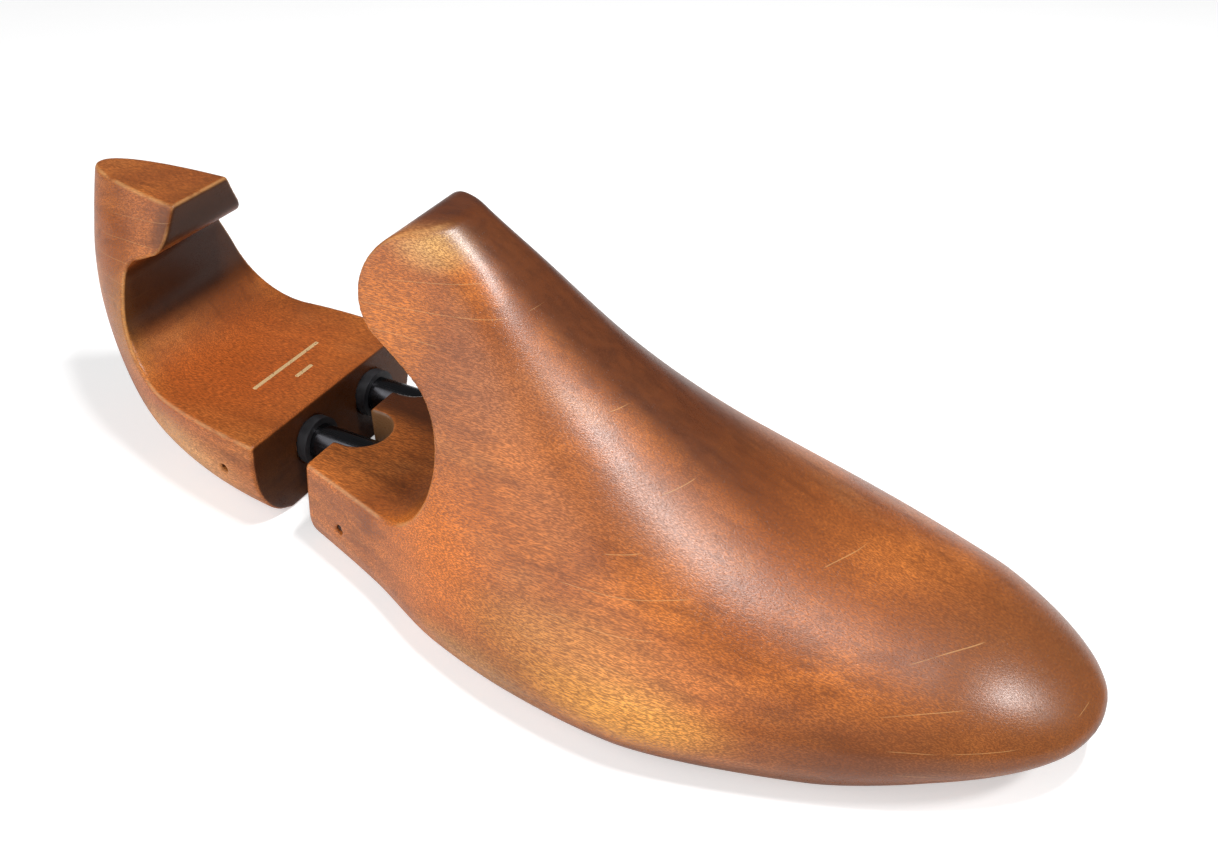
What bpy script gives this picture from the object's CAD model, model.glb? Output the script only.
"""A sprung shoe tree in stained beech, with dark rods and black collars, in soft studio light."""
import math

import bpy
import numpy as np
from mathutils import Matrix


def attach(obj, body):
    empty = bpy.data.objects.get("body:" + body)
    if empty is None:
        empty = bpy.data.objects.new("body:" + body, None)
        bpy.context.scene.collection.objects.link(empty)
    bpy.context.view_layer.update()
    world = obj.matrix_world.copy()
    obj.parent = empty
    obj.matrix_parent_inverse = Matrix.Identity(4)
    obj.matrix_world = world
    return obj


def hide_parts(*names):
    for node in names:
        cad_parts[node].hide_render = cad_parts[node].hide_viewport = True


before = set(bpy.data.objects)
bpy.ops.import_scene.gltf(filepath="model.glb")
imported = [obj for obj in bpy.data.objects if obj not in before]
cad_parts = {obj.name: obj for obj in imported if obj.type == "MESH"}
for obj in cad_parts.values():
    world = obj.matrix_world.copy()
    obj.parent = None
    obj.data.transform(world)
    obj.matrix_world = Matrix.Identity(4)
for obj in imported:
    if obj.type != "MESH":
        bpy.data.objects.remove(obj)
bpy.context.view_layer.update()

MM = 0.001
FORE = "forepart_body"
HEEL = "heel_body"
LEFT, RIGHT = 1, -1

# ---------------------------------------------------------------------------------------------
# Shape of the two blocks, in millimetres from the heel block's front face
# ---------------------------------------------------------------------------------------------
# The heel block's front face in the part's own frame
SEAT_X = 22.0

# Forepart: from the gap to the tip, widest at the ball, closing at the toe
GAP = 14.0
TIP_END = 199.9
BALL_X = 112.0
TIP_H = 13.0
TIP_FROM = 168.0
TOE_TAPER, TOE_ROUNDNESS = 1.45, 0.48
BACK_LIFT, BACK_LIFT_LENGTH = 1.5, 52
TOE_LIFT, TOE_LIFT_FROM, TOE_LIFT_LENGTH = 5, 140, 60
RIDGE_BLUNTNESS = 0.14
LEDGE_H = 24.3
HOLLOW_R, HOLLOW_X = 17.0, 40.6
NOSE_R, NOSE_X, NOSE_Z = 11.5, 41.5, 73.0
CROWN_SLOPE = 8.0

# Heel block: its form, its floor and the finger hook above the floor
HEEL_H = 71.0
FLOOR_H = 25.6
LIP_BACK = 37.5
WALL_BACK = 51.0
SCOOP_R = 17.0
HOOK_CORNER_R, HOOK_CORNER_Z, HOOK_TURN = 6.0, 51.0, 15.0
LIP_R, LIP_Z = 5.0, 64.0
HEEL_OFFSET, HEEL_SWING = -1.4, 0.075
LENGTH_POWER, WIDTH_POWER = 2 / 0.94, 2 / 0.9

# Rods, nails and the holes for them
ROD_Y, ROD_Z, ROD_R = 12.3, 15.0, 4.8
ROD_FRONT, ROD_SPACE = 47.0, 0.03
SLEEVE_R, SLEEVE_DEPTH = 6.3, 38.0
COLLAR_R = 6.6
NOTCH_R, NOTCH_DEPTH, NOTCH_BELOW_COLLAR = 7.5, 11.0, 1.5
NAIL_R = 1.25
HEEL_NAIL_X, HEEL_NAIL_Z, HEEL_NAIL_INSIDE = -11.6, 15.0, 6
FORE_NAIL_X, FORE_NAIL_Z, FORE_NAIL_INSIDE = 27.0, 12.5, 4

# Boxes in which the two blocks are worked out, and a distance that is beyond any edge
FORE_LOW, FORE_HIGH = (GAP - 2, -61, -2), (TIP_END + 2, 37, 92)
HEEL_LOW, HEEL_HIGH = (-80.5, -36, -2), (2, 38, 73)
BEYOND = 9.0

# Control lists: the first number of a row is X, the second is Y, half a width or Z
MIDDLE_LINE = [(12, -1.8), (40, -5.8), (63, -9.6), (105, -12.2), (150, -10), (200, -9.4)]
WIDTH_LINE = [(12, 30.2), (40, 35.6), (63, 41.4), (84, 44.9), (112, 46.4), (140, 44.8)]
RIDGE_LINE = [(12, 0.5), (48, 0.5), (100, -4), (150, -7), (200, -6.5)]
RIDGE_HEIGHT = [(12, 114), (30, 100), (45, 87.2), (60, 77), (80, 63), (100, 52.2),
                (120, 43), (140, 35.8), (160, 30.4), (180, 26.2), (200, 21.5)]
# Rows of the heel: Z, reach to the back, half widths inwards and outwards
HEEL_FORM = [(0, 46, 22.5, 22.5), (2.5, 54, 27, 27), (7, 61.5, 30.6, 30), (14, 68.5, 32.8, 32),
             (25, 74.5, 32, 31.2), (38, 77.8, 29.6, 28), (50, 78.3, 25.4, 22.5),
             (60, 77.6, 18.8, 16.5), (66, 76.8, 13.8, 13.8), (71, 75.5, 10.2, 12.2)]


def ease(u):
    """Smooth step between 0 and 1."""
    v = np.clip(u, 0, 1)
    return v * v * (3 - 2 * v)


def grown(x, start, length):
    """Goes smoothly from 0 at start to 1 one length further on."""
    return ease((x - start) / length)


def curve(rows, x, column=1):
    """Smooth curve through a column of a control list."""
    t = np.array(rows, float)
    i = np.clip(np.searchsorted(t[:, 0], x, side="left") - 1, 0, len(t) - 2)
    a, b, c = np.maximum(i - 1, 0), i + 1, np.minimum(i + 2, len(t) - 1)
    slope_0 = (t[b, column] - t[a, column]) / (t[b, 0] - t[a, 0])
    slope_1 = (t[c, column] - t[i, column]) / (t[c, 0] - t[i, 0])
    w = t[b, 0] - t[i, 0]
    u = (x - t[i, 0]) / w
    return ((2 * u**3 - 3 * u**2 + 1) * t[i, column] + (u**3 - 2 * u**2 + u) * w * slope_0
            + (3 * u**2 - 2 * u**3) * t[b, column] + (u**3 - u**2) * w * slope_1)


def arc(centre, r, start, end, n):
    """Points along an arc, with its angles in degrees."""
    a = np.radians(np.linspace(start, end, n + 1))
    return list(zip(centre[0] + r * np.cos(a), centre[1] + r * np.sin(a)))


def outline_distance(points, u, v):
    """Signed distance from the points (u, v) to a closed outline, negative inside."""
    shape = np.broadcast(u, v).shape
    best = np.full(shape, 1e9)
    inside = np.zeros(shape, bool)
    for (u0, v0), (u1, v1) in zip(points, points[1:] + points[:1]):
        du, dv = u1 - u0, v1 - v0
        t = np.clip(((u - u0) * du + (v - v0) * dv) / max(du * du + dv * dv, 1e-9), 0, 1)
        best = np.minimum(best, (u - u0 - t * du) ** 2 + (v - v0 - t * dv) ** 2)
        if dv:
            inside ^= ((v0 > v) != (v1 > v)) & (u < u0 + du * (v - v0) / dv)
    return np.where(inside, -1, 1) * np.sqrt(best)


def both(a, b, r):
    """Where two solids overlap, with their common edge rounded to radius r."""
    corner = np.hypot(np.maximum(a + r, 0), np.maximum(b + r, 0))
    return np.minimum(-r, np.maximum(a, b)) + corner


def as_distance(form, step, limit=6.0):
    """Turns an implicit form, negative inside, into a distance that holds near its surface."""
    slopes = np.gradient(form, step)
    steepness = np.sqrt(sum(s * s for s in slopes))
    return np.clip(form / np.maximum(steepness, 1e-5), -limit, limit)


def make_grid(low, high, step):
    """Coordinates of the points of a box, as arrays that broadcast against each other."""
    axes = [np.arange(a, b + step, step) for a, b in zip(low, high)]
    return np.meshgrid(*axes, indexing="ij", sparse=True)


def forepart_skin(x, y, z, step):
    """Distance to the skin of the forepart before anything is cut from it."""
    along = np.clip(x, GAP - 4, TIP_END - 0.02)
    past_ball = np.clip((along - BALL_X) / (TIP_END - BALL_X), 0, 1)
    ball_half = curve(WIDTH_LINE, np.array(BALL_X))
    half = np.where(along < BALL_X, curve(WIDTH_LINE, along),
                    ball_half * (1 - past_ball**TOE_TAPER) ** TOE_ROUNDNESS)
    close = np.sqrt(1 - (np.clip(along - TIP_FROM, 0, None) / (TIP_END - TIP_FROM)) ** 2)
    back_lift = BACK_LIFT * (1 - grown(along, GAP, BACK_LIFT_LENGTH))
    toe_lift = TOE_LIFT * np.clip((along - TOE_LIFT_FROM) / TOE_LIFT_LENGTH, 0, None) ** 2
    sole = TIP_H - (TIP_H - (back_lift + toe_lift)) * close
    top = TIP_H + (curve(RIDGE_HEIGHT, along) - TIP_H) * close
    side = sole + np.minimum(8 + 3 * grown(along, 20, 80), 0.42 * (top - sole))
    rise = 1.12 + 0.8 * grown(along, 40, 110)
    bulge = 1 / (0.6 - 0.06 * grown(along, 50, 100))
    edge = (0.17 + 0.05 * grown(along, 20, 80) + 0.6 * grown(along, 150, 50)) * half
    middle = curve(MIDDLE_LINE, along)
    ridge = middle + np.clip(curve(RIDGE_LINE, along) - middle, -0.75 * half, 0.75 * half)

    across = np.where(y > ridge, (y - ridge) / (middle + half - ridge),
                      (ridge - y) / (ridge - middle + half))
    blunt = RIDGE_BLUNTNESS * (1 - grown(along, 60, 55))
    across = (np.sqrt(across**2 + blunt**2) - blunt) / (np.sqrt(1 + blunt**2) - blunt)
    up = np.clip((z - side) / (top - side), 0, None)
    upper = up**rise + across**bulge - 1
    out = np.clip((np.abs(y - middle) - (half - edge)) / edge, 0, None)
    down = np.clip((side - z) / (side - sole), 0, None)
    lower = np.sqrt(out**2 + down**2) - 1
    skin = np.where(z > side, as_distance(upper, step), as_distance(lower, step))
    return np.where(x > TIP_END, np.maximum(skin, x - TIP_END), skin)


def nose_outline():
    """Side view of what is cut away behind and under the nose."""
    hollow = np.array((HOLLOW_X, LEDGE_H + HOLLOW_R))
    nose = np.array((NOSE_X, NOSE_Z))
    dx, dz = nose - hollow
    leave = math.degrees(math.atan2(dz, dx) - math.acos((HOLLOW_R + NOSE_R) / math.hypot(dx, dz)))
    crown = arc(nose, NOSE_R, leave + 180, 90 + CROWN_SLOPE, 40)
    crown_x, crown_z = crown[-1]
    far = 60.0
    slope = math.radians(CROWN_SLOPE)
    back_x = GAP - 9
    return ([(back_x, LEDGE_H)] + arc(hollow, HOLLOW_R, -90, leave, 50) + crown
            + [(crown_x + far * math.cos(slope), crown_z + far * math.sin(slope)),
               (back_x, crown_z + far)])


def scoop_outline():
    """Side view of what is cut away between the heel floor and the finger hook."""
    front_x, top_z = 9.0, HEEL_H + 20
    corner = (HOOK_CORNER_R - WALL_BACK, HOOK_CORNER_Z)
    return ([(front_x, FLOOR_H)]
            + arc((SCOOP_R - WALL_BACK, FLOOR_H + SCOOP_R), SCOOP_R, 270, 180, 40)
            + arc(corner, HOOK_CORNER_R, 180, 90 + HOOK_TURN, 16)
            + arc((-LIP_BACK - LIP_R, LIP_Z), LIP_R, HOOK_TURN - 90, 0, 16)
            + [(-LIP_BACK, top_z), (front_x, top_z)])


def round_hole(u, v, r):
    """Distance to a round hole whose axis is at u = v = 0."""
    return np.hypot(u, v) - r


def forepart_field(step):
    """Distance to the forepart, and how far each point is from its edges and its notches."""
    x, y, z = make_grid(FORE_LOW, FORE_HIGH, step)
    skin = forepart_skin(x, y, z, step)
    profile = outline_distance(nose_outline(), x[:, 0, :], z[0, :, :])[:, None, :]
    solid = both(skin, GAP - x + 0 * skin, 1.2)
    cut = both(solid, -profile + 0 * skin, 1.3)
    notch_floor = ROD_Z - COLLAR_R - NOTCH_BELOW_COLLAR
    mid_x = GAP + NOTCH_DEPTH - NOTCH_R
    notch = np.full(skin.shape, BEYOND)
    bore = np.full(skin.shape, BEYOND)
    for side in (LEFT, RIGHT):
        from_rod = y - side * ROD_Y
        slot = np.where(x < mid_x, np.abs(from_rod), np.hypot(x - mid_x, from_rod))
        notch = np.minimum(notch, np.maximum(slot - NOTCH_R, notch_floor - z))
        rod_hole = np.maximum(round_hole(from_rod, z - ROD_Z, ROD_R + ROD_SPACE), x - ROD_FRONT)
        nail_hole = np.maximum(round_hole(x - FORE_NAIL_X, z - FORE_NAIL_Z, NAIL_R),
                               ROD_Y + FORE_NAIL_INSIDE - side * y)
        bore = np.minimum(bore, np.minimum(rod_hole, nail_hole))
    solid = both(cut, -notch, 0.6)
    solid = np.maximum(solid, -bore)
    edge = np.maximum(np.abs(skin), np.abs(profile))
    return solid, {"edge": edge, "bare": np.abs(notch)}, FORE_LOW


def heel_field(step):
    """Distance to the heel block, and how far each point is from its edges and its front face."""
    x, y, z = make_grid(HEEL_LOW, HEEL_HIGH, step)
    level = np.clip(z, 0, HEEL_H)
    reach = curve(HEEL_FORM, level, 1)
    middle = HEEL_OFFSET - HEEL_SWING * x
    half = np.where(y < middle, curve(HEEL_FORM, level, 2), curve(HEEL_FORM, level, 3))
    form = ((np.clip(-x, 0, None) / reach) ** LENGTH_POWER
            + (np.abs(y - middle) / half) ** WIDTH_POWER - 1)
    skin = as_distance(form, step)
    profile = outline_distance(scoop_outline(), x[:, 0, :], z[0, :, :])[:, None, :]
    solid = both(skin, z - HEEL_H + 0 * skin, 1.0)
    solid = both(solid, -z + 0 * skin, 0.5)
    solid = both(solid, x + 0 * skin, 0.8)
    solid = both(solid, -profile + 0 * skin, 1.0)
    bore = np.full(skin.shape, BEYOND)
    for side in (LEFT, RIGHT):
        sleeve = np.maximum(round_hole(y - side * ROD_Y, z - ROD_Z, SLEEVE_R), -SLEEVE_DEPTH - x)
        nail_hole = np.maximum(round_hole(x - HEEL_NAIL_X, z - HEEL_NAIL_Z, NAIL_R),
                               ROD_Y + HEEL_NAIL_INSIDE - side * y)
        bore = np.minimum(bore, np.minimum(sleeve, nail_hole))
    solid = np.maximum(solid, -bore)
    edge = np.minimum(np.maximum(np.abs(skin), np.abs(profile)),
                      np.maximum(np.minimum(np.abs(skin), np.abs(profile)), HEEL_H - z))
    return solid, {"edge": edge, "bare": np.abs(x) + BEYOND + 0 * skin}, HEEL_LOW


# ---------------------------------------------------------------------------------------------
# Meshes
# ---------------------------------------------------------------------------------------------
def sample(values, spots):
    """Values of a grid at spots between its points."""
    base = np.clip(np.floor(spots).astype(int), 0, np.array(values.shape) - 2)
    part = spots - base
    total = 0.0
    for corner in np.ndindex(2, 2, 2):
        weight = np.prod(np.where(np.array(corner) == 1, part, 1 - part), axis=1)
        total = total + weight * values[tuple((base + corner).T)]
    return total


# How often spots are moved onto the surface, and in how many of those turns evened out first
FIT_TURNS, RELAX_TURNS = 6, 3
# The longest such move, in cells
LONGEST_MOVE = 0.7
# How often the calmed end is evened out, and over how many cells that sets in
CALM_TURNS, CALM_CELLS = 12, 6
# Value of a point that is filled in, in millimetres
JUST_INSIDE = -0.01


def unpinched(field):
    """The field, filled in where its surface would touch itself along a line."""
    field = np.array(field)
    for axis in (0, 1, 2, 0, 1, 2):
        first, second = (axis + 1) % 3, (axis + 2) % 3
        corners = []
        for p, q in ((0, 0), (1, 0), (1, 1), (0, 1)):
            part = [slice(None)] * 3
            part[first] = slice(p, field.shape[first] - 1 + p)
            part[second] = slice(q, field.shape[second] - 1 + q)
            corners.append(field[tuple(part)])
        a, b, c, d = (corner < 0 for corner in corners)
        pinched = (a == c) & (b == d) & (a != b)
        for corner in corners:
            corner[pinched] = np.minimum(corner[pinched], JUST_INSIDE)
    return field


def surface_net(field, calm_from=None):
    """Quads over the zero surface of a field, one vertex per crossed cell.

    The vertices are moved onto the surface, and evened out beyond calm_from cells along X.
    """
    shape = np.array(field.shape) - 1
    flat_all, point_all, quad_all = [], [], []
    for axis in range(3):
        low, high = [slice(None)] * 3, [slice(None)] * 3
        low[axis], high[axis] = slice(0, -1), slice(1, None)
        a, b = field[tuple(low)], field[tuple(high)]
        crossed = (a < 0) != (b < 0)
        spot = np.argwhere(crossed)
        va, vb = a[crossed], b[crossed]
        point = spot.astype(float)
        point[:, axis] += va / (va - vb)
        first, second = (axis + 1) % 3, (axis + 2) % 3
        ring = []
        for p, q in ((-1, -1), (0, -1), (0, 0), (-1, 0)):
            cell = spot.copy()
            cell[:, first] += p
            cell[:, second] += q
            ring.append(np.ravel_multi_index(tuple(cell.T), shape))
            flat_all.append(ring[-1])
            point_all.append(point)
        quad = np.stack(ring, 1)
        quad_all.append(np.where((va < 0)[:, None], quad, quad[:, ::-1]))
    cells, order = np.unique(np.concatenate(flat_all), return_inverse=True)
    points = np.concatenate(point_all)
    count = np.bincount(order)
    spots = np.stack([np.bincount(order, points[:, k]) / count for k in range(3)], 1)
    quads = np.searchsorted(cells, np.concatenate(quad_all))
    slopes = np.gradient(field)
    edges = np.concatenate([quads[:, (k, (k + 1) % 4)] for k in range(4)])
    start, end = edges[:, 0], edges[:, 1]
    links = np.bincount(start, minlength=len(spots)) + np.bincount(end, minlength=len(spots))

    def evened(spots):
        """Each spot moved half way to the mean of its neighbours."""
        total = [np.bincount(start, spots[end, k], len(spots))
                 + np.bincount(end, spots[start, k], len(spots)) for k in range(3)]
        return 0.5 * (np.stack([column / links for column in total], 1) + spots)

    for turn in range(FIT_TURNS):
        if turn < RELAX_TURNS:
            spots = evened(spots)
        slope = np.stack([sample(s, spots) for s in slopes], 1)
        size = np.maximum(np.sum(slope * slope, axis=1), 1e-3)
        shift = sample(field, spots)[:, None] * slope / size[:, None]
        spots = spots - np.clip(shift, -LONGEST_MOVE, LONGEST_MOVE)
    if calm_from:
        share = ease((spots[:, :1] - calm_from) / CALM_CELLS)
        for turn in range(CALM_TURNS):
            spots = spots + share * (evened(spots) - spots)
    return spots, quads


def mesh_object(name, points, faces, smooth=True):
    """A mesh object from points in millimetres in the part's frame."""
    mesh = bpy.data.meshes.new(name)
    mesh.from_pydata((np.asarray(points) * MM).tolist(), [], [tuple(face) for face in faces])
    mesh.update()
    mesh.polygons.foreach_set("use_smooth", [smooth] * len(mesh.polygons))
    piece = bpy.data.objects.new(name, mesh)
    bpy.context.scene.collection.objects.link(piece)
    return piece


def block(name, field_of, step, calm_x=None):
    """A wooden block grown from its field, with the field's extras as vertex attributes."""
    field, extras, low = field_of(step)
    field = unpinched(field)
    calm_from = (calm_x - low[0]) / step if calm_x else None
    spots, quads = surface_net(field, calm_from)
    points = np.array(low) + step * spots + np.array((SEAT_X, 0, 0))
    piece = mesh_object(name, points, quads)
    for label, values in extras.items():
        layer = piece.data.attributes.new(label, "FLOAT", "POINT")
        at_spots = sample(np.broadcast_to(values, field.shape), spots)
        layer.data.foreach_set("value", at_spots.astype(np.float32))
    return piece


# ---------------------------------------------------------------------------------------------
# Materials
# ---------------------------------------------------------------------------------------------
# Colours of the wood: its stain, dark places, the pores, lit fibres and unstained wood
DEEP = (0.29, 0.077, 0.019)
WARM = (0.58, 0.175, 0.034)
PALE = (0.66, 0.36, 0.14)
FAR_STAIN = (0.05, 0.014, 0.007)
END_STAIN = (0.03, 0.012, 0.006)
PORE = (0.05, 0.018, 0.008)
FIBRE_LIGHT = (1.28, 1.28, 1.25)
BARE = (0.2, 0.095, 0.04)
# How fine the grain is, per millimetre
FIBRE_SCALE = 4.8
FLECK_SCALE = 3.6
RINGS_PER_MM = 0.19


class Graph:
    """Short calls for building a node material."""

    def __init__(self, name):
        self.material = bpy.data.materials.new(name)
        self.material.use_nodes = True
        self.tree = self.material.node_tree
        self.tree.nodes.clear()
        self.surface = self.tree.nodes.new("ShaderNodeBsdfPrincipled")
        output = self.tree.nodes.new("ShaderNodeOutputMaterial")
        self.tree.links.new(self.surface.outputs[0], output.inputs[0])

    def put(self, socket, value):
        """Links a socket to another one, or sets its value."""
        if isinstance(value, bpy.types.NodeSocket):
            self.tree.links.new(value, socket)
        elif isinstance(value, (tuple, list)) and socket.type == "RGBA":
            socket.default_value = tuple(value) + (1.0,)
        else:
            socket.default_value = value

    def node(self, kind, inputs, **settings):
        made = self.tree.nodes.new("ShaderNode" + kind)
        for key, value in settings.items():
            setattr(made, key, value)
        for key, value in inputs.items():
            self.put(made.inputs[key], value)
        return made

    def math(self, operation, a, b=0.0, c=0.0):
        return self.node("Math", {0: a, 1: b, 2: c}, operation=operation).outputs[0]

    def add(self, a, b):
        return self.math("ADD", a, b)

    def times(self, a, b):
        return self.math("MULTIPLY", a, b)

    def place(self):
        """Position on the piece in millimetres, in the part's frame at rest."""
        spot = self.node("TexCoord", {}).outputs["Object"]
        return self.node("VectorMath", {0: spot, "Scale": 1 / MM}, operation="SCALE").outputs[0]

    def split(self, vector):
        return self.node("SeparateXYZ", {0: vector}).outputs

    def join(self, x, y, z):
        return self.node("CombineXYZ", {0: x, 1: y, 2: z}).outputs[0]

    def noise(self, vector, scale=1.0, detail=2.0, roughness=0.5, distortion=0.0):
        return self.node("TexNoise", {"Vector": vector, "Scale": scale, "Detail": detail,
                                      "Roughness": roughness, "Distortion": distortion}).outputs[0]

    def step(self, value, start, end, low=0.0, high=1.0):
        """Smooth step from low to high as value goes from start to end."""
        made = self.node("MapRange", {0: value, 1: start, 2: end, 3: low, 4: high},
                         interpolation_type="SMOOTHSTEP")
        return made.outputs[0]

    def mix(self, amount, a, b, blend="MIX"):
        made = self.tree.nodes.new("ShaderNodeMix")
        made.data_type, made.blend_type = "RGBA", blend
        for key, value in ((0, amount), (6, a), (7, b)):
            self.put(made.inputs[key], value)
        return made.outputs[2]

    def bump(self, height, distance, strength=1.0, normal=None):
        inputs = {"Height": height, "Distance": distance * MM, "Strength": strength}
        if normal:
            inputs["Normal"] = normal
        return self.node("Bump", inputs).outputs[0]

    def attribute(self, name):
        return self.node("Attribute", {}, attribute_name=name).outputs["Fac"]

    def finish(self, **inputs):
        for key, value in inputs.items():
            self.put(self.surface.inputs[key.replace("_", " ")], value)
        return self.material


def near(g, place, centre, size):
    """1 at a centre, falling smoothly to 0 at the given half sizes."""
    offset = g.node("VectorMath", {0: place, 1: centre}, operation="SUBTRACT").outputs[0]
    scaled = g.node("VectorMath", {0: offset, 1: size}, operation="DIVIDE").outputs[0]
    length = g.node("VectorMath", {0: scaled}, operation="LENGTH").outputs[1]
    return g.step(length, 1.0, 0.15)


def stain(g, place, ring_z, mottle, spots):
    """Colour of the stained wood before its fine grain."""
    x, y, z = g.split(place)[:3]
    layer = g.join(g.times(x, 0.006), g.times(y, 0.018), g.times(ring_z, 0.2))
    bands = g.noise(layer, 1.0, 3.0, 0.6)
    layer = g.join(g.times(x, 0.02), g.times(y, 0.35), g.times(ring_z, 0.35))
    streak = g.noise(layer, 1.0, 3.0, 0.6)
    layer = g.join(g.times(x, 0.03), g.times(y, 0.06), g.times(z, 0.06))
    blotch = g.noise(layer, 1.0, 2.0, 0.5, 0.6)
    colour = g.mix(g.step(mottle, 0.3, 0.68, 0.05, 1.0), DEEP, WARM)
    colour = g.mix(g.times(g.step(blotch, 0.55, 0.8), 0.2), colour, PALE)
    colour = g.mix(g.step(bands, 0.42, 0.62, 0.0, 0.45), colour, DEEP)
    colour = g.mix(g.step(streak, 0.46, 0.7, 0.0, 0.5), colour, tuple(0.5 * c for c in DEEP))
    for centre, size, amount, tint in spots:
        colour = g.mix(g.times(near(g, place, centre, size), amount), colour, tint)
    return colour


def grain(g, place):
    """Heights of the fibres, of the dashes that mark beech, and of the coarse tufts."""
    x, y, z = g.split(place)[:3]
    wobble = g.add(y, g.times(g.noise(place, 0.12, 1.0), 0.8))
    layer = g.join(g.times(x, 0.7), g.times(wobble, FIBRE_SCALE), g.times(z, FIBRE_SCALE))
    fibre = g.noise(layer, 1.0, 1.0, 0.5)
    layer = g.join(g.times(x, 0.12), g.times(y, 0.4), g.times(z, 0.4))
    tuft = g.noise(layer, 1.0, 2.0, 0.6)
    layer = g.join(g.times(x, 0.3), wobble, z)
    fleck = g.node("TexVoronoi", {"Vector": layer, "Scale": FLECK_SCALE, "Randomness": 1.0},
                   feature="F1")
    dash = g.times(g.step(fleck.outputs["Distance"], 0.4, 0.1),
                   g.step(g.split(fleck.outputs["Color"])[0], 0.35, 0.9))
    return fibre, dash, tuft


def wood(name, spots, end_dark, far_dark, gloss):
    """Stained beech with the grain along X.

    end_dark is the share of dark stain on faces across the grain, far_dark the share of it
    past the ridge, gloss the strength of the wax, and spots the local shifts of the stain.
    """
    g = Graph(name)
    place = g.place()
    x, y, z = g.split(place)[:3]
    wander = g.noise(place, 0.02, 1.0)
    ring_z = g.add(g.add(z, g.times(x, -0.035)), g.times(wander, 9.0))
    mottle = g.noise(place, 0.035, 3.0, 0.55)
    colour = stain(g, place, ring_z, mottle, spots)

    across = g.add(y, g.times(x, 0.11))
    far = g.times(g.step(across, -5.0, 4.5), g.step(x, 175.0, 125.0))
    far = g.times(g.times(far, g.step(across, 40.0, 20.0)), far_dark)
    colour = g.mix(far, colour, FAR_STAIN)

    fibre, dash, tuft = grain(g, place)
    colour = g.mix(g.step(tuft, 0.35, 0.65, 0.16, 0.0), colour, DEEP)
    colour = g.mix(g.times(dash, 0.5), colour, PORE)
    colour = g.mix(g.step(fibre, 0.36, 0.6, 0.55, 0.0), colour, g.mix(0.4, PORE, DEEP))
    colour = g.mix(g.step(fibre, 0.5, 0.7), colour, FIBRE_LIGHT, "MULTIPLY")

    # Pale hairlines along the growth rings, only on the near flank and broken up by noise
    ring = g.math("FRACT", g.times(ring_z, RINGS_PER_MM))
    line = g.step(g.math("ABSOLUTE", g.add(ring, -0.5)), 0.012, 0.004)
    broken = g.step(g.noise(place, 0.05, 1.0), 0.57, 0.62)
    line = g.times(line, g.times(g.step(y, -4.0, -12.0), broken))
    colour = g.mix(g.times(line, 0.5), colour, PALE)

    # Dark stain on end grain, pale worn edges and bare wood in the notches
    normal = g.node("TexCoord", {}).outputs["Normal"]
    facing = g.math("ABSOLUTE", g.split(normal)[0])
    colour = g.mix(g.step(facing, 0.75, 1.0, 0.0, end_dark), colour, END_STAIN)
    patchy = g.step(g.noise(place, 0.16, 3.0), 0.32, 0.54)
    worn = g.times(g.step(g.attribute("edge"), 1.0, 0.35), patchy)
    worn = g.times(worn, g.step(far, 0.8, 0.1))
    colour = g.mix(g.times(worn, 0.45), colour, PALE)
    colour = g.mix(g.step(g.attribute("bare"), 0.7, 0.35), colour, BARE)

    dull = g.add(g.step(mottle, 0.3, 0.7, 0.27, 0.33), g.step(fibre, 0.3, 0.7, 0.05, -0.03))
    rough = g.bump(fibre, 0.05, 0.5)
    rough = g.bump(dash, -0.03, 0.5, rough)
    rough = g.bump(g.noise(place, 0.09, 2.0), 0.5, 0.12, rough)
    return g.finish(Base_Color=colour, Roughness=dull, Normal=rough, Specular_IOR_Level=gloss,
                    Coat_Weight=0.4 * gloss, Coat_Roughness=0.22,
                    Coat_Normal=g.bump(fibre, 0.02, 0.4))


def steel(name, tint, roughness):
    """Drawn or polished metal with fine scratches along X."""
    g = Graph(name)
    place = g.place()
    x, y, z = g.split(place)[:3]
    scratch = g.noise(g.join(g.times(x, 0.05), g.times(y, 3.0), g.times(z, 3.0)), 1.0, 4.0, 0.65)
    smear = g.noise(place, 0.18, 3.0)
    colour = g.mix(g.step(smear, 0.35, 0.7), tint, tuple(0.75 * c for c in tint))
    dull = g.add(g.step(smear, 0.3, 0.7, roughness, roughness + 0.1),
                 g.step(scratch, 0.4, 0.7, 0.0, 0.08))
    return g.finish(Base_Color=colour, Metallic=1.0, Roughness=dull,
                    Normal=g.bump(scratch, 0.01, 0.4))


def plastic(name, tint, roughness):
    """Moulded nylon with a faint skin texture."""
    g = Graph(name)
    place = g.place()
    skin = g.noise(place, 4.0, 3.0, 0.6)
    cloud = g.noise(place, 0.3, 2.0)
    colour = g.mix(g.step(cloud, 0.35, 0.7), tint, tuple(1.6 * c + 0.004 for c in tint))
    dull = g.add(g.step(cloud, 0.3, 0.7, roughness, roughness + 0.12),
                 g.step(skin, 0.4, 0.6, 0.0, 0.06))
    return g.finish(Base_Color=colour, Roughness=dull, Normal=g.bump(skin, 0.02, 0.35))


def gilt(name):
    """Stamped gilt foil, rubbed through in places."""
    g = Graph(name)
    place = g.place()
    rub = g.noise(place, 1.3, 4.0, 0.65)
    wear = g.step(rub, 0.56, 0.68)
    colour = g.mix(wear, (0.88, 0.6, 0.3), (0.24, 0.09, 0.03))
    return g.finish(Base_Color=colour, Metallic=g.step(rub, 0.56, 0.68, 0.3, 0.0),
                    Roughness=g.step(rub, 0.3, 0.7, 0.3, 0.5), Normal=g.bump(rub, 0.05, 0.5))


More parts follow.
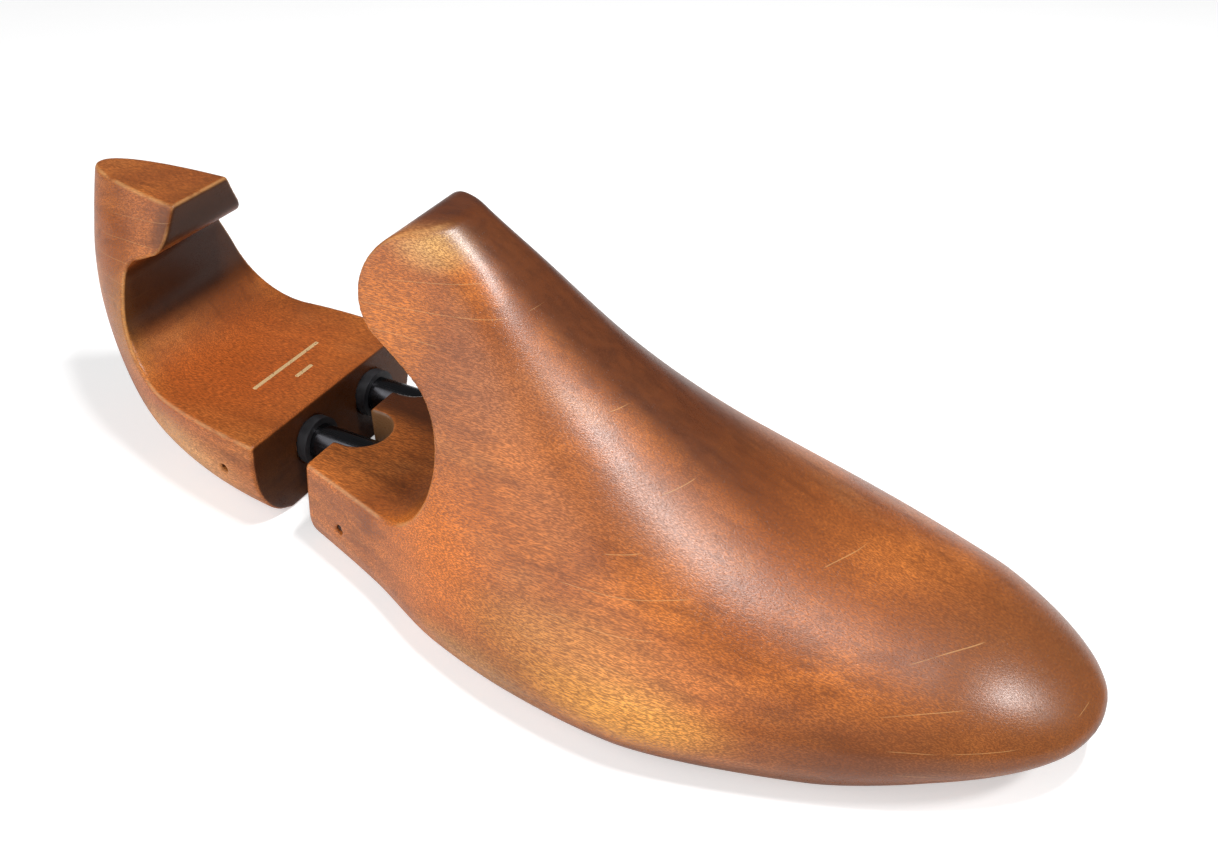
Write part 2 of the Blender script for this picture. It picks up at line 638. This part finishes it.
# Local shifts of the stain: centre, half sizes, strength and colour
FORE_SPOTS = [
    ((42, 0, 24.3), (24, 50, 5), 0.8, (0.86, 0.25, 0.05)),
    ((60, -24, 66), (20, 16, 26), 0.7, (0.72, 0.21, 0.03)),
    ((92, -24, 58), (28, 18, 22), 0.5, (0.34, 0.13, 0.06)),
    ((82, -46, 30), (30, 20, 28), 0.7, (0.8, 0.21, 0.025)),
    ((112, -33, 42), (24, 14, 14), 0.3, (0.32, 0.11, 0.05)),
    ((68, -11, 82), (14, 12, 7), 0.65, (0.74, 0.46, 0.18)),
    ((61, -2, 85), (14, 20, 3), 0.8, (0.2, 0.055, 0.026)),
    ((120, -54, 22), (36, 14, 14), 0.5, (0.8, 0.34, 0.08)),
    ((138, -57, 15), (32, 10, 10), 0.8, (0.95, 0.42, 0.08)),
    ((98, -55, 9), (36, 9, 8), 0.5, (0.42, 0.24, 0.08)),
    ((184, -42, 14), (44, 24, 14), 0.85, (0.15, 0.046, 0.017)),
    ((160, -50, 5), (56, 22, 7), 0.65, (0.12, 0.045, 0.018)),
    ((170, -14, 34), (40, 30, 14), 0.4, (0.42, 0.125, 0.028)),
    ((190, -22, 27), (20, 24, 12), 0.7, (0.22, 0.064, 0.02)),
    ((208, -12, 18), (40, 46, 26), 0.85, (0.19, 0.066, 0.021)),
    ((128, -28, 43), (32, 20, 18), 0.6, (0.26, 0.085, 0.032)),
]
HEEL_SPOTS = [
    ((-4, -5, 25), (44, 45, 9), 0.8, (0.54, 0.115, 0.022)),
    ((-25, 5, 44), (24, 32, 22), 0.85, (0.09, 0.028, 0.011)),
    ((-38, 0, 78), (34, 30, 6), 0.8, (0.5, 0.14, 0.05)),
    ((-14, -30, 12), (44, 12, 14), 0.6, (0.95, 0.5, 0.18)),
    ((-34, -28, 46), (36, 16, 30), 0.5, (0.86, 0.42, 0.09)),
    ((-17, 0, 65), (7, 34, 9), 0.9, (0.035, 0.012, 0.006)),
]
beech_fore = wood("stained_beech_forepart", FORE_SPOTS, end_dark=0.3, far_dark=0.9, gloss=0.32)
beech_heel = wood("stained_beech_heel", HEEL_SPOTS, end_dark=0.85, far_dark=0.0, gloss=0.2)
dark_steel = steel("polished_rod_steel", (0.09, 0.09, 0.1), 0.16)
grey_steel = steel("spring_wire_steel", (0.5, 0.5, 0.52), 0.32)
nail_steel = steel("nail_steel", (0.12, 0.1, 0.09), 0.45)
black_nylon = plastic("black_nylon", (0.012, 0.012, 0.014), 0.38)
gilt_foil = gilt("gilt_foil")

# ---------------------------------------------------------------------------------------------
# Pieces
# ---------------------------------------------------------------------------------------------
# Size of the cells in which the blocks are worked out, and where the toe is evened out
FORE_STEP, HEEL_STEP = ((0.7, 0.6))
CALM_X = TIP_END - 5

# Gilt bars: distance behind the front face, size along X and Y, sunk depth and height above
LONG_BAR_BACK, LONG_BAR_SIZE = 17, (1.2, 26)
SHORT_BAR_BACK, SHORT_BAR_SIZE = 11, (1.2, 6.5)
BAR_SINK, BAR_LIFT, BAR_BEVEL = -0.15, 0.05, 0.03


def settle(piece, body, node, material):
    """Gives a piece its material, its body and the CAD node that it stands for."""
    piece.data.materials.clear()
    piece.data.materials.append(material)
    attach(piece, body)
    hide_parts(node)


def plate(centre, size):
    """Points and faces of a thin foil bar with softened ends, sunk into the floor.

    It stands proud of the floor by a hair, with its top edge bevelled.
    """
    (cx, cy, cz), (sx, sy) = centre, size
    corner, steps = 0.3 * sx, 6
    outline = []
    for qx, qy, start in ((1, 1, 0), (-1, 1, 90), (-1, -1, 180), (1, -1, 270)):
        for k in range(steps + 1):
            a = math.radians(start + 90 * k / steps)
            outline.append((cx + qx * (sx / 2 - corner) + corner * math.cos(a),
                            cy + qy * (sy / 2 - corner) + corner * math.sin(a)))
    rings = ((BAR_SINK, 1.0), (BAR_LIFT - BAR_BEVEL, 1.0), (BAR_LIFT, 0.93))
    points, faces, n = [], [], len(outline)
    for dz, scale in rings:
        points += [(cx + (px - cx) * scale, cy + (py - cy) * (1 + (scale - 1) * sx / sy), cz + dz)
                   for px, py in outline]
    for level in range(len(rings) - 1):
        faces += [(level * n + i, level * n + (i + 1) % n, (level + 1) * n + (i + 1) % n,
                   (level + 1) * n + i) for i in range(n)]
    faces.append(tuple(range(n))[::-1])
    faces.append(tuple(range((len(rings) - 1) * n, len(rings) * n)))
    return points, faces


def floor_mark():
    """The two plain gilt bars on the heel floor, as one piece."""
    long_bar = plate((SEAT_X - LONG_BAR_BACK, 0, FLOOR_H), LONG_BAR_SIZE)
    short_bar = plate((SEAT_X - SHORT_BAR_BACK, 0, FLOOR_H), SHORT_BAR_SIZE)
    points = long_bar[0] + short_bar[0]
    shift = len(long_bar[0])
    faces = long_bar[1] + [tuple(i + shift for i in face) for face in short_bar[1]]
    return mesh_object("gilt_bars", points, faces, smooth=False)


heel_wood = block("heel_wood", heel_field, HEEL_STEP)
settle(heel_wood, HEEL, "heel_block", beech_heel)
forepart_wood = block("forepart_wood", forepart_field, FORE_STEP, CALM_X)
settle(forepart_wood, FORE, "forepart", beech_fore)
settle(floor_mark(), HEEL, "floor_mark", gilt_foil)

# The CAD's own meshes stand for the turned and bent pieces, and only get their materials
NODE_LOOKS = {"sleeve": black_nylon, "guide_bush": black_nylon, "end_plug": black_nylon,
              "spring": grey_steel, "rod": dark_steel, "stop_collar": grey_steel,
              "heel_nail": nail_steel, "fore_nail": nail_steel}
for node_name, node_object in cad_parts.items():
    for ending, material in NODE_LOOKS.items():
        if node_name.endswith(ending):
            node_object.data.materials.clear()
            node_object.data.materials.append(material)

# ---------------------------------------------------------------------------------------------
# Floor, light and camera
# ---------------------------------------------------------------------------------------------
FLOOR_HALF, FLOOR_Z = 4000.0, -0.05
GREY, LIGHTER_GREY = (0.8, 0.8, 0.8), (0.83, 0.83, 0.83)
SENSOR, LENS = 36.0, 35.6
EYE, AIM, ROLL = (209.92, -199.10, 203.29), (99.47, 7.34, 30.0), math.radians(-0.33)
# Strength of the surroundings as a light, and as the camera sees them
WORLD_LIGHT, WORLD_SEEN = 0.1, 1.0


def floor():
    """A pale floor that glows for the camera only, and more so further out."""
    g = Graph("pale_floor")
    place = g.place()
    cloud = g.noise(place, 0.01, 2.0)
    away = g.node("VectorMath", {0: place}, operation="LENGTH").outputs[1]
    glow = g.step(away, 500.0, 1800.0, 0.42, 0.95)
    seen = g.node("LightPath", {}).outputs["Is Camera Ray"]
    g.finish(Base_Color=g.mix(cloud, GREY, LIGHTER_GREY), Roughness=0.9, Specular_IOR_Level=0.1,
             Emission_Color=(1.0, 1.0, 1.0), Emission_Strength=g.times(seen, glow))
    signs = ((-1, -1), (1, -1), (1, 1), (-1, 1))
    corners = [(sx * FLOOR_HALF, sy * FLOOR_HALF, FLOOR_Z) for sx, sy in signs]
    sheet = mesh_object("studio_floor", corners, [(0, 1, 2, 3)], smooth=False)
    sheet.data.materials.append(g.material)


def look_from(place, aim, roll=0.0):
    """World matrix of an object at place, in millimetres, that looks at aim."""
    eye, target = np.array(place, float), np.array(aim, float)
    ahead = (target - eye) / np.linalg.norm(target - eye)
    right = np.cross(ahead, (0, 0, 1.0))
    right /= np.linalg.norm(right)
    up = np.cross(right, ahead)
    turned = math.cos(roll) * right + math.sin(roll) * up
    up = np.cross(turned, ahead)
    rows = np.stack([turned, up, -ahead, eye * MM], axis=1)
    return Matrix([list(row) for row in rows] + [[0, 0, 0, 1]])


def lamp(name, place, aim, size, power):
    """A rectangular area light; place, aim and size are in millimetres."""
    light = bpy.data.lights.new(name, "AREA")
    light.shape = "RECTANGLE"
    light.size, light.size_y = size[0] * MM, size[1] * MM
    light.energy = power
    made = bpy.data.objects.new(name, light)
    bpy.context.scene.collection.objects.link(made)
    made.matrix_world = look_from(place, aim)


floor()
lamp("window", (-420, -900, 560), (60, -20, 30), (2200, 1500), 18.6)
lamp("overhead", (250, 25, 640), (100, -10, 50), (130, 40), 2.6)
lamp("toe_lamp", (650, 130, 550), (190, -15, 20), (130, 85), 2.2)

world = bpy.data.worlds.new("studio")
world.use_nodes = True
background = world.node_tree.nodes["Background"]
background.inputs["Color"].default_value = (0.98, 0.99, 1.0, 1)
world_seen = world.node_tree.nodes.new("ShaderNodeLightPath").outputs["Is Camera Ray"]
level = world.node_tree.nodes.new("ShaderNodeMapRange")
level.inputs["To Min"].default_value = WORLD_LIGHT
level.inputs["To Max"].default_value = WORLD_SEEN
world.node_tree.links.new(world_seen, level.inputs["Value"])
world.node_tree.links.new(level.outputs["Result"], background.inputs["Strength"])
bpy.context.scene.world = world
bpy.context.scene.view_settings.view_transform = "Standard"

camera_data = bpy.data.cameras.new("camera")
camera_data.sensor_width = SENSOR
camera_data.lens = LENS
camera_data.clip_start = 0.01
camera = bpy.data.objects.new("camera", camera_data)
bpy.context.scene.collection.objects.link(camera)
camera.matrix_world = look_from(EYE, AIM, ROLL)
bpy.context.scene.camera = camera
